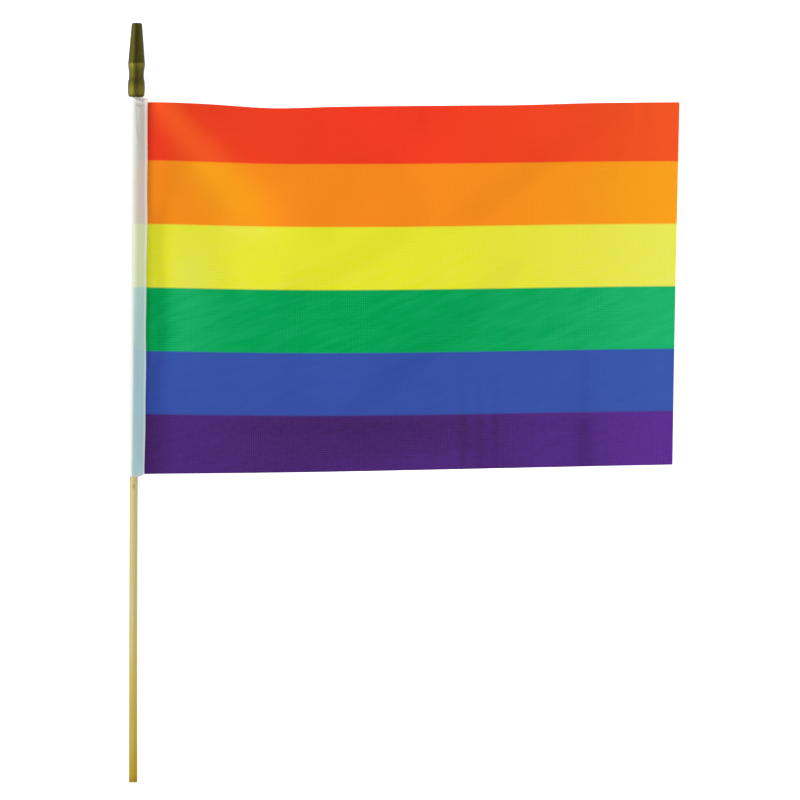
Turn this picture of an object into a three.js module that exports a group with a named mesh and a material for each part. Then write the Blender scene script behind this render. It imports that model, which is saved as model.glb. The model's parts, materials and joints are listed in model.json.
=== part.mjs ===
// A stick flag lying on a table: a printed cloth, the white pocket strip sewn along its hoist,
// the wooden stick in that pocket, and the turned tip pushed on the stick's upper end.
// Millimetres, +Z up. The stick runs along +Y with its tip at the far end, and the cloth flies
// out along +X. The table's surface is z = 0, and x = y = 0 is the middle of the footprint.
import * as THREE from "three";

// The stick is a round dowel, a little bowed towards the cloth.
const STICK_RADIUS = 3.5;
const STICK_LENGTH = 600;
const STICK_BEVEL = 0.4;
const STICK_FACETS = 20;
const STICK_STATION = 50;
const BOW = 3.3;

// The tip is a blunt cone over a waisted neck and a rounded collar.
// Heights are above its foot, and radii are its own.
const TIP_FOOT = 570;
const TIP_LENGTH = 61.6;
const TIP_FACETS = 24;
const CURVE_STEPS = 4;
const TIP = {
  foot: { radius: 5.6 },
  shoulder: { radius: 7.15, up: 1.2 },
  collar: { radius: 7.15, up: 6.5 },
  collarFall: { radius: 7.15, up: 12.8 },
  groove: { radius: 6.15, up: 16.3 },
  waist: { radius: 6.05, up: 21.5 },
  ring: { radius: 7.1, up: 27.6 },
  coneFoot: { radius: 7.0, up: 28.6 },
  coneHead: { radius: 4.25, up: 60.6 },
  crown: { radius: 3.6 },
};

// Cloth is one thickness, and pieces stand a little apart.
const CLOTH = 1;
const GAP = 0.3;

// Round pieces rest on a small flat.
const REST_FLAT = 0.1;

// The pocket strip: a band folded round the stick, its two long edges closing on the cloth.
const POCKET_FOOT = 254.2;
const POCKET_HEAD = 569.7;
const POCKET_REACH = 9.75;
const POCKET_CORNER_LIFT = 2.3;
const POCKET_CORNER_START = 3;
const SEAM_DROP = 3.2;
const POCKET_ARC_STEPS = 12;
const POCKET_FLAP_STEPS = 3;
const POCKET_ROWS = 12;

// The cloth. Its hoist is longer than its fly, and its lower edge is cut a little askew.
const HOIST_FOOT = 256.5;
const HOIST_HEAD = 565.8;
const FLY_FOOT = 264.3;
const FLY_HEAD = 565.8;
const FLY_FOOT_OUT = 448.6;
const FLY_HEAD_OUT = 454.5;
const FLY_CURVE = 1.2;
const TONGUE = 4.75;
const TONGUE_RISE = 0.25;
const CLOTH_COLUMNS = 54;
const CLOTH_CROWDING = 1.25;
const CLOTH_ROWS = 32;

// How far out from the strip the cloth has dropped to the table, at its foot and at its head.
// The head's corner is held up by the raised end of the stick, so it drops over more.
const HOIST_FALL = [14, 15];
const CORNER_FALL = 50;
const CORNER_FALL_START = 0.65;

// The fly curls up: how high its edge lies, and how far in the curl starts, at foot and head.
const FLY_LIFT = [5.4, 2.8];
const FLY_LIFT_REACH = [130, 44];

// How far the cloth sags in its own plane between hoist and fly, at its lower and upper edge.
const SAG_FOOT = 0.9;
const SAG_HEAD = 3.3;
const SAG_GROWTH = 0.7;
const SAG_SKEW = 0.72;
const SAG_SHARPNESS = 1.8;

// Extra dips of the upper edge: place and half width as shares of its length, and depth.
const HEAD_DIPS = [
  { at: 0.235, half: 0.09, drop: 2.2 },
  { at: 0.7, half: 0.1, drop: 0.8 },
];
const HEAD_DIP_FADE = 8;

// The soft folds. Each runs down from one place to another, measured from the middle of the
// stick's lower end. It rises by the given heights at those two places, and falls away over the
// given widths on the side of the hoist and on the side of the fly, and over the given length
// past its ends. Folds grow out of the strip over FOLD_GROWTH.
const FOLD_GROWTH = 14;
const FOLDS = [
  { from: [36, 566], to: [128, 486], rise: [5.7, 4.4], hoist: [26, 46], fly: [40, 84], past: 60 },
  { from: [348, 539], to: [284, 497], rise: [2.4, 3.8], hoist: [70, 70], fly: [27, 30], past: 80 },
  { from: [280, 411], to: [206, 350], rise: [2.6, 4.2], hoist: [90, 90], fly: [26, 30], past: 70 },
  { from: [206, 466], to: [128, 423], rise: [3.8, 3.4], hoist: [80, 80], fly: [30, 32], past: 50 },
  { from: [38, 440], to: [35, 262], rise: [2.2, 1.6], hoist: [17, 16], fly: [56, 50], past: 46 },
  { from: [92, 352], to: [88, 262], rise: [1.6, 3.2], hoist: [66, 70], fly: [100, 130], past: 80 },
  { from: [366, 330], to: [369, 262], rise: [1.5, 2.2], hoist: [70, 70], fly: [17, 17], past: 60 },
  { from: [228, 568], to: [234, 550], rise: [0.9, 0.9], hoist: [60, 60], fly: [15, 13], past: 16 },
  { from: [21, 562], to: [19, 488], rise: [2.2, 3.2], hoist: [12, 12], fly: [84, 72], past: 32 },
  { from: [17, 412], to: [17, 362], rise: [2.2, 2.2], hoist: [8, 8], fly: [12, 12], past: 26 },
];

const smoothstep = (t) => THREE.MathUtils.smoothstep(t, 0, 1);
const lerp = THREE.MathUtils.lerp;
const bump = (q) => (q < 1 ? (1 - q * q) ** 2 : 0);

const overallLength = TIP_FOOT + TIP_LENGTH;
const collarPlace = TIP_FOOT + TIP.collar.up;

// The stick's axis: how far it has bowed sideways, and how high it lies.
const bowAt = (y) => BOW * (y / overallLength) ** 2;
const axisHeight = (y) =>
  lerp(STICK_RADIUS - REST_FLAT, TIP.collar.radius - REST_FLAT, y / collarPlace);

// Takes a turned shape from a straight axis to the stick's, and flattens it where it rests.
function layDown(geometry) {
  const points = geometry.attributes.position;
  for (let i = 0; i < points.count; i++) {
    const y = points.getY(i);
    points.setX(i, points.getX(i) + bowAt(y));
    points.setZ(i, Math.max(0, points.getZ(i) + axisHeight(y)));
  }
  return geometry;
}

// A turned shape, with one facet straight down.
function turned(profile, facets) {
  return new THREE.LatheGeometry(profile, facets, Math.PI / facets, 2 * Math.PI);
}

function stickGeometry() {
  const profile = [new THREE.Vector2(0, 0), new THREE.Vector2(STICK_RADIUS - STICK_BEVEL, 0)];
  const stations = STICK_LENGTH / STICK_STATION;
  for (let i = 0; i <= stations; i++) {
    const y = THREE.MathUtils.clamp(i * STICK_STATION, STICK_BEVEL, STICK_LENGTH - STICK_BEVEL);
    profile.push(new THREE.Vector2(STICK_RADIUS, y));
  }
  profile.push(new THREE.Vector2(STICK_RADIUS - STICK_BEVEL, STICK_LENGTH));
  profile.push(new THREE.Vector2(0, STICK_LENGTH));
  return layDown(turned(profile, STICK_FACETS));
}

function tipGeometry() {
  const socketRadius = STICK_RADIUS + GAP;
  const socketDepth = STICK_LENGTH - TIP_FOOT + GAP;
  const outline = new THREE.Path();
  outline.moveTo(0, socketDepth);
  outline.lineTo(socketRadius, socketDepth);
  outline.lineTo(socketRadius, 0);
  outline.lineTo(TIP.foot.radius, 0);
  const curve = (over, to) => outline.quadraticCurveTo(over.radius, over.up, to.radius, to.up);
  curve(TIP.shoulder, TIP.collar);
  curve(TIP.collarFall, TIP.groove);
  curve(TIP.waist, TIP.ring);
  outline.lineTo(TIP.coneFoot.radius, TIP.coneFoot.up);
  outline.lineTo(TIP.coneHead.radius, TIP.coneHead.up);
  curve({ radius: TIP.coneHead.radius, up: TIP_LENGTH }, { ...TIP.crown, up: TIP_LENGTH });
  outline.lineTo(0, TIP_LENGTH);
  const geometry = turned(outline.getPoints(CURVE_STEPS), TIP_FACETS);
  return layDown(geometry.translate(0, TIP_FOOT, 0));
}

// A closed sheet between two grids of points. face(column, row) gives the pair of points there.
function sheetGeometry(columns, rows, face) {
  const points = [];
  const triangles = [];
  for (let row = 0; row <= rows; row++)
    for (let column = 0; column <= columns; column++)
      for (const point of face(column, row)) points.push(...point);
  const corner = (column, row, side) => 2 * (row * (columns + 1) + column) + side;
  const quad = (a, b, c, d) => triangles.push(a, b, c, a, c, d);
  for (let row = 0; row < rows; row++)
    for (let column = 0; column < columns; column++) {
      const ring = (side) => [
        corner(column, row, side),
        corner(column + 1, row, side),
        corner(column + 1, row + 1, side),
        corner(column, row + 1, side),
      ];
      quad(...ring(1));
      quad(...ring(0).reverse());
    }
  const border = [];
  for (let column = 0; column < columns; column++) border.push([column, 0]);
  for (let row = 0; row < rows; row++) border.push([columns, row]);
  for (let column = columns; column > 0; column--) border.push([column, rows]);
  for (let row = rows; row > 0; row--) border.push([0, row]);
  border.forEach((here, i) => {
    const next = border[(i + 1) % border.length];
    quad(corner(...here, 0), corner(...next, 0), corner(...next, 1), corner(...here, 1));
  });
  const geometry = new THREE.BufferGeometry();
  geometry.setAttribute("position", new THREE.Float32BufferAttribute(points, 3));
  geometry.setIndex(triangles);
  geometry.computeVertexNormals();
  return geometry;
}

// The pocket strip's middle line around the stick's axis, from its front edge over the stick
// and back underneath, as places (out, up) and the direction (outX, upX) that faces outwards.
function pocketSection() {
  const radius = STICK_RADIUS + GAP + CLOTH / 2;
  const layer = CLOTH + GAP;
  const front = new THREE.Vector2(POCKET_REACH, layer - SEAM_DROP);
  const back = new THREE.Vector2(POCKET_REACH, -layer - SEAM_DROP);
  const tangent = (end, turn) => end.angle() + turn * Math.acos(radius / end.length());
  const start = tangent(front, 1) - 2 * Math.PI;
  const finish = tangent(back, -1);
  const section = [];
  const flap = (end, angle, share) => {
    const normal = new THREE.Vector2(Math.cos(angle), Math.sin(angle));
    section.push({ place: end.clone().lerp(normal.clone().multiplyScalar(radius), share), normal });
  };
  for (let i = 0; i < POCKET_FLAP_STEPS; i++) flap(front, start, i / POCKET_FLAP_STEPS);
  for (let i = 0; i <= POCKET_ARC_STEPS; i++)
    flap(front, lerp(start, finish, i / POCKET_ARC_STEPS), 1);
  for (let i = 1; i <= POCKET_FLAP_STEPS; i++) flap(back, finish, 1 - i / POCKET_FLAP_STEPS);
  return section;
}

function pocketGeometry() {
  const section = pocketSection();
  return sheetGeometry(section.length - 1, POCKET_ROWS, (column, row) => {
    const { place, normal } = section[column];
    const corner = Math.max(0, place.x - POCKET_CORNER_START) / (POCKET_REACH - POCKET_CORNER_START);
    const foot = POCKET_FOOT + POCKET_CORNER_LIFT * corner ** 2;
    const y = lerp(foot, POCKET_HEAD, row / POCKET_ROWS);
    return [1, -1].map((side) => {
      const offset = place.clone().addScaledVector(normal, (side * CLOTH) / 2);
      return [bowAt(y) + offset.x, y, axisHeight(y) + offset.y];
    });
  });
}

// A fold's height at a place: its rise there, less with the distance from its crest.
function foldHeight(fold, x, y) {
  const [x0, y0] = fold.from;
  const run = [fold.to[0] - x0, fold.to[1] - y0];
  const length = Math.hypot(...run);
  const along = ((x - x0) * run[0] + (y - y0) * run[1]) / length ** 2;
  const within = THREE.MathUtils.clamp(along, 0, 1);
  const past = (along - within) * length;
  const across = ((y - y0) * run[0] - (x - x0) * run[1]) / length;
  const share = smoothstep(within);
  const width = lerp(...(across > 0 ? fold.fly : fold.hoist), share);
  const away = Math.hypot(across / width, past / fold.past);
  return lerp(...fold.rise, share) * bump(away);
}

// The height of the cloth's underside over the table.
function clothHeight(x, y, hoist, fly) {
  const hung = axisHeight(y) - SEAM_DROP - CLOTH / 2;
  const out = x - hoist;
  if (out <= 0) return hung - TONGUE_RISE * out;
  const share = THREE.MathUtils.clamp((y - HOIST_FOOT) / (HOIST_HEAD - HOIST_FOOT), 0, 1);
  const corner = smoothstep((share - CORNER_FALL_START) / (1 - CORNER_FALL_START));
  const fall = hung * bump(out / (lerp(...HOIST_FALL, share) + CORNER_FALL * corner));
  const folds = FOLDS.reduce((sum, fold) => sum + foldHeight(fold, x, y), 0);
  const curl = Math.max(0, 1 - (fly - x) / lerp(...FLY_LIFT_REACH, share));
  const grown = 1 - Math.max(0, 1 - out / FOLD_GROWTH) ** 2;
  return fall + grown * folds + lerp(...FLY_LIFT, share) * curl ** 2;
}

// Where a share u of the way from hoist to fly, and v of the way up the cloth, lies.
function clothPlace(u, v) {
  const sagShape = Math.sin(Math.PI * u ** SAG_SKEW) ** SAG_SHARPNESS;
  const dips = HEAD_DIPS.reduce(
    (sum, dip) => sum + dip.drop * Math.exp(-(((u - dip.at) / dip.half) ** 2)),
    0,
  );
  const sag = lerp(SAG_FOOT, SAG_HEAD, v ** SAG_GROWTH) * sagShape + dips * v ** HEAD_DIP_FADE;
  const y = lerp(lerp(HOIST_FOOT, FLY_FOOT, u), lerp(HOIST_HEAD, FLY_HEAD, u), v) - sag;
  const hoist = bowAt(y) + POCKET_REACH;
  const fly = lerp(FLY_FOOT_OUT, FLY_HEAD_OUT, v ** FLY_CURVE);
  return { x: lerp(hoist, fly, u), y, hoist, fly };
}

function clothGeometry() {
  return sheetGeometry(CLOTH_COLUMNS, CLOTH_ROWS, (column, row) => {
    const u = (Math.max(0, column - 1) / (CLOTH_COLUMNS - 1)) ** CLOTH_CROWDING;
    const place = clothPlace(u, row / CLOTH_ROWS);
    const x = column ? place.x : place.hoist - TONGUE;
    const under = clothHeight(x, place.y, place.hoist, place.fly);
    return [
      [x, place.y, under],
      [x, place.y, under + CLOTH],
    ];
  });
}

function piece(name, geometry, look) {
  const mesh = new THREE.Mesh(geometry, new THREE.MeshStandardMaterial(look));
  mesh.name = name;
  return mesh;
}

const flag = new THREE.Group();
flag.add(
  piece("cloth", clothGeometry(), { color: 0xef4423, roughness: 0.75, side: THREE.DoubleSide }),
  piece("pocket_strip", pocketGeometry(), { color: 0xf2f3ee, roughness: 0.8 }),
  piece("stick", stickGeometry(), { color: 0xd9cb95, roughness: 0.6 }),
  piece("tip", tipGeometry(), { color: 0x6b5f24, roughness: 0.4, metalness: 0.5 }),
);

// The frame's origin is the middle of the footprint.
const middle = new THREE.Box3().setFromObject(flag, true).getCenter(new THREE.Vector3());
flag.position.set(-middle.x, -middle.y, 0);

const object = new THREE.Group();
object.add(flag);

export default object;
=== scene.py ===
# %% [markdown]
# # A small flag on its stick
# This lesson dresses a hand flag that lies flat on a table: a thin printed cloth, a white strip
# folded round a wooden stick, and a turned tip on the stick's end. A fixed frame of plain solids
# already says where each of these is. The lesson makes a fine piece for each solid, in its place.
# The frame is in metres: X runs from the stick to the cloth's free edge, Y up the stick to its
# tip, and Z up off the table.

# %% Load the frame and keep its box
import json
import math
from collections import namedtuple

import bpy
import numpy as np
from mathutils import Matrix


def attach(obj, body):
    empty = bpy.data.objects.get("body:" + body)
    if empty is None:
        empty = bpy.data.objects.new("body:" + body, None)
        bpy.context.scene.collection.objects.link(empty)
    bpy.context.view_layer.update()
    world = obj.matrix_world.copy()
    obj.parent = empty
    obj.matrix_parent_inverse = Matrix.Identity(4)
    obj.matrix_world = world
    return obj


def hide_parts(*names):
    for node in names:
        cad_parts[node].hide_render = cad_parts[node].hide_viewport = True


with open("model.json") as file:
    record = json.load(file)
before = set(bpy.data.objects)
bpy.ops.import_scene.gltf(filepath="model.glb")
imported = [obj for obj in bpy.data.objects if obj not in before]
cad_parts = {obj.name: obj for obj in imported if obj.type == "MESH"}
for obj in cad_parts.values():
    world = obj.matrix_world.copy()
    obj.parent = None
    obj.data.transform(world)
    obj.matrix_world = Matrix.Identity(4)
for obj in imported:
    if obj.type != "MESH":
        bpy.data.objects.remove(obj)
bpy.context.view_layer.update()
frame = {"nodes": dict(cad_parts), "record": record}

print("frame nodes:", sorted(frame["nodes"]))

# %% [markdown]
# ## Where things are measured from
# A maker measures a stick flag from the stick's lower end. The frame's record gives that point as
# a mount, so all sizes below are millimetres from there: out from the stick, up along the stick,
# and off the table. One function takes them into the frame. The stick is a little bowed. The tip's
# collar is wider than the stick, so the stick rises towards it. Where a round piece rests on the
# table, it has a flat a tenth of a millimetre deep.

# %% Sizes of the stick, and the way from them into the frame
MM = 0.001
STICK_END = next(m for m in frame["record"]["mounts"] if m["name"] == "stick_end")
FOOT = np.array([STICK_END["pos_m"][0], STICK_END["pos_m"][1], 0.0])

STICK_RADIUS = 3.5
STICK_LENGTH = 600.0
BOW = 3.3
REST_FLAT = 0.1
TIP_FOOT = 570.0
TIP_LENGTH = 61.6
COLLAR_UP = 6.5
COLLAR_RADIUS = 7.15
OVERALL_LENGTH = TIP_FOOT + TIP_LENGTH


def in_frame(points):
    """Millimetres from the stick's foot as metres in the frame."""
    return FOOT + np.asarray(points, float) * MM


def bow_at(up):
    """How far the stick has bowed towards the cloth."""
    return BOW * (up / OVERALL_LENGTH) ** 2


def axis_height(up):
    """How high the stick's axis lies: it rises to the tip's collar."""
    low = STICK_RADIUS - REST_FLAT
    high = COLLAR_RADIUS - REST_FLAT
    return low + (high - low) * up / (TIP_FOOT + COLLAR_UP)


print("stick's foot:", [round(float(c), 4) for c in FOOT])

# %% [markdown]
# ## Small helpers
# A material is a tree of nodes, and one helper adds any node with its settings and links. An input
# is given by its name, or by its number where a node has several of one name. A Map Range node's
# inputs 1 and 2 are the range that comes in, and 3 and 4 are the range that goes out. Colours are
# written as sRGB hex values, as a colour picker shows them, and one function turns them into the
# linear values that a renderer works in. A mesh can keep a number at each of its points, such as
# how much painted sheen the print has there, and its material reads it by name.

# %% Helpers for nodes, colours and meshes
NOISE_LOW, NOISE_HIGH = 0.3, 0.7    # nearly all of a noise texture lies between these


def add_node(tree, kind, settings=None, inputs=None):
    """Adds a node, sets its properties, and fills its inputs with values or links."""
    node = tree.nodes.new(kind)
    for name, value in (settings or {}).items():
        setattr(node, name, value)
    for name, value in (inputs or {}).items():
        if isinstance(value, bpy.types.NodeSocket):
            tree.links.new(value, node.inputs[name])
        else:
            node.inputs[name].default_value = value
    return node


def linear(hex_colour):
    """An sRGB hex value as a linear colour with full alpha."""
    channels = [int(hex_colour[i : i + 2], 16) / 255 for i in (0, 2, 4)]
    return [c / 12.92 if c <= 0.04045 else ((c + 0.055) / 1.055) ** 2.4 for c in channels] + [1.0]


def new_material(name):
    """An empty node material, with its tree and its output node."""
    material = bpy.data.materials.new(name)
    material.use_nodes = True
    tree = material.node_tree
    tree.nodes.clear()
    return material, tree, add_node(tree, "ShaderNodeOutputMaterial")


def select_only(piece):
    """Makes this the one selected and active object."""
    bpy.ops.object.select_all(action="DESELECT")
    piece.select_set(True)
    bpy.context.view_layer.objects.active = piece


def points_of(piece):
    """A mesh's points, one to a row."""
    points = np.zeros(3 * len(piece.data.vertices))
    piece.data.vertices.foreach_get("co", points)
    return points.reshape(-1, 3)


def keep_number(piece, name, values):
    """Keeps a number at each point of the mesh, for its material to read by name."""
    kept = piece.data.attributes.new(name, "FLOAT", "POINT")
    kept.data.foreach_set("value", values.astype(np.float32))


def finish_piece(piece, name, node, materials):
    """Names a finished piece, gives it its materials, and says which solid it stands for."""
    piece.name = piece.data.name = name
    piece.data.materials.clear()
    for material in materials:
        piece.data.materials.append(material)
    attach(piece, "root")
    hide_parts(node)
    size = [round(float(s / MM), 1) for s in piece.dimensions]
    print(name, "stands for", node, "size in mm:", size, "faces:", len(piece.data.polygons))


# %% [markdown]
# ## The camera, the light and the table
# A product shot of a flat thing is taken from straight above and from far off, so that nothing
# leans outwards.

# %% Camera
VIEW_WIDTH = 665.6
VIEW_CENTRE = (222.0, 318.1)
CAMERA_HEIGHT = 9.0
SENSOR = 36.0

bpy.ops.object.camera_add(rotation=(0, 0, 0))
camera = bpy.context.object
camera.location = (*in_frame([*VIEW_CENTRE, 0])[:2], CAMERA_HEIGHT)
camera.data.sensor_width = SENSOR
camera.data.lens = SENSOR * CAMERA_HEIGHT / (VIEW_WIDTH * MM)
camera.data.dof.use_dof = False
bpy.context.scene.camera = camera
print("camera lens in mm:", round(camera.data.lens, 1))

# %% [markdown]
# The main light is soft and comes in low from the side of the stick, so that the folds show, and a
# weak one answers it from the other side. Sun lamps with a wide angle are such lights: they are as
# soft as a large window, and they fall evenly from the stick to the cloth's far edge. A pale room
# fills in the rest.

# %% Light
ROOM_LIGHT = 0.486

SunLight = namedtuple("SunLight", "name height turn width energy")
SUNS = [
    SunLight("window", 27, -88, 50, 3.73),
    SunLight("far_wall", 32, 90, 60, 1.5),
]
for sun in SUNS:
    tilt = (math.radians(90 - sun.height), 0, math.radians(sun.turn))
    bpy.ops.object.light_add(type="SUN", rotation=tilt)
    lamp = bpy.context.object
    lamp.name = lamp.data.name = sun.name
    lamp.data.angle = math.radians(sun.width)
    lamp.data.energy = sun.energy

world = bpy.data.worlds.new("soft_room")
world.use_nodes = True
world.node_tree.nodes["Background"].inputs["Color"].default_value = linear("FDFDFF")
world.node_tree.nodes["Background"].inputs["Strength"].default_value = ROOM_LIGHT
bpy.context.scene.world = world
bpy.context.scene.view_settings.view_transform = "Standard"
print("lamps:", [sun.name for sun in SUNS], "room light:", ROOM_LIGHT)

# %% [markdown]
# The flag lies on a light table. Its white acrylic sheet glows a little, which takes the shadows
# away.

# %% Table
TABLE_SIZE = 8.0
TABLE_GLOW = 0.6

bpy.ops.mesh.primitive_plane_add(size=TABLE_SIZE)
table = bpy.context.object
table.name = "table"
material, tree, output = new_material("light_table_acrylic")
shader = add_node(tree, "ShaderNodeBsdfPrincipled", inputs={
    "Base Color": linear("FAFAFA"), "Roughness": 0.8, "Specular IOR Level": 0.2,
    "Emission Color": linear("FFFFFF"), "Emission Strength": TABLE_GLOW})
tree.links.new(shader.outputs[0], output.inputs["Surface"])
table.data.materials.append(material)
print("table's width in m:", TABLE_SIZE)

# %% [markdown]
# ## The printed cloth, its shape
# The cloth is one rectangle of thin polyester. Its edge at the stick is called the hoist, and its
# free edge the fly. It comes out of the white strip, drops to the table within a finger's width,
# and lies in soft folds: a broad one from the upper corner at the stick, some that slant across the
# middle, and low swells along the stick and the lower edge. The fly curls up, and the upper edge
# sags a little. A cloth simulation would find folds of its own, so these are listed here, as
# ridges. Each ridge has a crest with a start and an end, given as out and up. Its rise and its
# reach to either side are pairs, the value at the start and the value at the end, and it dies out
# past both ends.

# %% Sizes of the cloth and its folds
HOIST_FOOT, HOIST_HEAD = 256.5, 565.8
FLY_FOOT, FLY_HEAD = 264.3, 565.8
FLY_FOOT_OUT, FLY_HEAD_OUT = 448.6, 454.5
FLY_CURVE = 1.2
REACH = 9.75          # from the stick's axis to the strip's edge
SEAM_DROP = 3.2       # from the axis down to the cloth in the strip
SOLID_CLOTH = 1.0     # how thick the cloth's solid is
TONGUE = 4.75         # how far the cloth goes into the strip
TONGUE_RISE = 0.25
HOIST_FALL = (14.0, 15.0)
CORNER_FALL, CORNER_FALL_START = 50.0, 0.65
FLY_LIFT = (5.4, 2.8)
FLY_LIFT_REACH = (130.0, 44.0)
FOLD_GROWTH = 14.0
SAG_FOOT, SAG_HEAD = 0.9, 3.3
SAG_GROWTH, SAG_SKEW, SAG_SHARPNESS = 0.7, 0.72, 1.8
Dip = namedtuple("Dip", "at half drop")
HEAD_DIPS = [Dip(0.235, 0.09, 2.2), Dip(0.7, 0.1, 0.8)]
HEAD_DIP_FADE = 8

Fold = namedtuple("Fold", "start end rise hoist_side fly_side past")
FOLDS = [
    Fold((36, 566), (128, 486), (5.7, 4.4), (26, 46), (40, 84), 60),
    Fold((348, 539), (284, 497), (2.4, 3.8), (70, 70), (27, 30), 80),
    Fold((280, 411), (206, 350), (2.6, 4.2), (90, 90), (26, 30), 70),
    Fold((206, 466), (128, 423), (3.8, 3.4), (80, 80), (30, 32), 50),
    Fold((38, 440), (35, 262), (2.2, 1.6), (17, 16), (56, 50), 46),
    Fold((92, 352), (88, 262), (1.6, 3.2), (66, 70), (100, 130), 80),
    Fold((366, 330), (369, 262), (1.5, 2.2), (70, 70), (17, 17), 60),
    Fold((228, 568), (234, 550), (0.9, 0.9), (60, 60), (15, 13), 16),
    Fold((21, 562), (19, 488), (2.2, 3.2), (12, 12), (84, 72), 32),
    Fold((17, 412), (17, 362), (2.2, 2.2), (8, 8), (12, 12), 26),
]
CUT_WIDTH = FLY_HEAD_OUT - REACH
HOIST_HEIGHT = HOIST_HEAD - HOIST_FOOT
FLY_HEIGHT = FLY_HEAD - FLY_FOOT
print("cloth's cut width and height:", round(CUT_WIDTH, 1), round(HOIST_HEIGHT, 1))

# %% [markdown]
# A place on the cloth is told by two shares: how far out it is from the hoist, and how far up from
# the lower edge. From them, one function finds where it lies, and another how high a ridge is there.


# %% Ridges, and where the cloth's edges lie
def between(pair, share):
    """A value on the way from the first of a pair to the second."""
    return pair[0] + (pair[1] - pair[0]) * share


def smoothstep(t):
    """From 0 to 1 with an easy start and an easy end."""
    t = np.clip(t, 0, 1)
    return t * t * (3 - 2 * t)


def fold_height(fold, out, up):
    """A fold's height at each place: its rise there, less with the distance from its crest."""
    run = np.subtract(fold.end, fold.start)
    length = np.hypot(*run)
    from_start = [out - fold.start[0], up - fold.start[1]]
    along = (from_start[0] * run[0] + from_start[1] * run[1]) / length**2
    within = np.clip(along, 0, 1)
    past = (along - within) * length
    across = (from_start[1] * run[0] - from_start[0] * run[1]) / length
    share = smoothstep(within)
    width = np.where(across > 0, between(fold.fly_side, share), between(fold.hoist_side, share))
    away = np.clip(np.hypot(across / width, past / fold.past), 0, 1)
    return between(fold.rise, share) * (1 - away**2) ** 2


def cloth_place(u, v):
    """Where a share u of the way out from the hoist, and v of the way up the cloth, lies."""
    sag_shape = np.sin(np.pi * np.clip(u, 0, 1) ** SAG_SKEW) ** SAG_SHARPNESS
    dips = sum(dip.drop * np.exp(-(((u - dip.at) / dip.half) ** 2)) for dip in HEAD_DIPS)
    sag = (SAG_FOOT + (SAG_HEAD - SAG_FOOT) * v**SAG_GROWTH) * sag_shape
    foot = HOIST_FOOT + (FLY_FOOT - HOIST_FOOT) * u
    head = HOIST_HEAD + (FLY_HEAD - HOIST_HEAD) * u
    up = foot + (head - foot) * v - sag - dips * v**HEAD_DIP_FADE
    hoist = bow_at(up) + REACH
    fly = FLY_FOOT_OUT + (FLY_HEAD_OUT - FLY_FOOT_OUT) * v**FLY_CURVE
    return hoist + (fly - hoist) * u, up, hoist, fly


# %% [markdown]
# The fold from the corner and its neighbours are large. Cloth that was packed folded also keeps
# fine creases and a slight cockle all over. They are too small for the solid, and they are what
# makes the light on the print uneven, so they are added here: creases one by one, and the cockle as
# a sum of low waves that run in different directions.

# %% Fine creases and cockle
CREASES = [
    Fold((271, 330), (271, 262), (0.35, 0.45), (14, 14), (6, 6), 24),
    Fold((285, 322), (285, 262), (0.35, 0.45), (12, 12), (6, 6), 24),
    Fold((298, 345), (298, 280), (0.35, 0.4), (12, 12), (7, 7), 24),
    Fold((308, 372), (309, 350), (0.35, 0.3), (12, 12), (7, 7), 16),
    Fold((423, 566), (422, 545), (0.5, 0.3), (6, 6), (8, 8), 10),
]
COCKLE_WAVES = 16
COCKLE_SHORT, COCKLE_LONG = 16.0, 62.0
COCKLE_HEIGHT = 0.035
SEED = 5


def cockle(out, up):
    """Low waves of different lengths and directions, the same ones each time."""
    chance = np.random.default_rng(SEED)
    total = np.zeros_like(out)
    for _ in range(COCKLE_WAVES):
        length = chance.uniform(COCKLE_SHORT, COCKLE_LONG)
        turn = chance.uniform(0, math.pi)
        phase = chance.uniform(0, 2 * math.pi)
        way = out * math.cos(turn) + up * math.sin(turn)
        total += COCKLE_HEIGHT * length / COCKLE_SHORT * np.sin(2 * math.pi * way / length + phase)
    return total / math.sqrt(COCKLE_WAVES)


def cloth_height(out, up, hoist, fly):
    """How high the cloth's underside lies over the table."""
    hung = axis_height(up) - SEAM_DROP - SOLID_CLOTH / 2
    past = out - hoist
    tongue = hung - TONGUE_RISE * past
    share = np.clip((up - HOIST_FOOT) / HOIST_HEIGHT, 0, 1)
    corner = smoothstep((share - CORNER_FALL_START) / (1 - CORNER_FALL_START))
    reach = between(HOIST_FALL, share) + CORNER_FALL * corner
    fall = hung * (1 - np.clip(past / reach, 0, 1) ** 2) ** 2
    folds = sum(fold_height(fold, out, up) for fold in FOLDS + CREASES) + cockle(out, up)
    curl = np.clip(1 - (fly - out) / between(FLY_LIFT_REACH, share), 0, 1)
    grown = 1 - (1 - np.clip(past / FOLD_GROWTH, 0, 1)) ** 2
    free = fall + grown * folds + between(FLY_LIFT, share) * curl**2
    return np.where(past <= 0, tongue, np.maximum(free, 0))


# %% [markdown]
# Now the cloth itself. A grid is added flat and each of its points is put where the lie of the
# cloth says. The grid keeps its own map of the print, in metres from the hoist and from the upper
# edge before it sagged, so that the stripes bend with the cloth, and they are a little narrower at
# the fly, where the cloth was pulled as it was printed. Solidify then gives the sheet its
# thickness, and marks the back so that it can have a look of its own.

# %% Grids, maps and thickness
SHEET_SMOOTH = 50     # a sheet is smooth over edges blunter than this many degrees


def add_grid(columns, rows):
    """A flat grid of that many faces, and its points as shares across and up."""
    bpy.ops.object.select_all(action="DESELECT")
    bpy.ops.mesh.primitive_grid_add(
        x_subdivisions=columns, y_subdivisions=rows, size=1, location=(0.5, 0.5, 0))
    piece = bpy.context.object
    bpy.ops.object.transform_apply(location=True, rotation=True, scale=True)
    shares = points_of(piece)
    return piece, shares[:, 0].copy(), shares[:, 1].copy()


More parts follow.
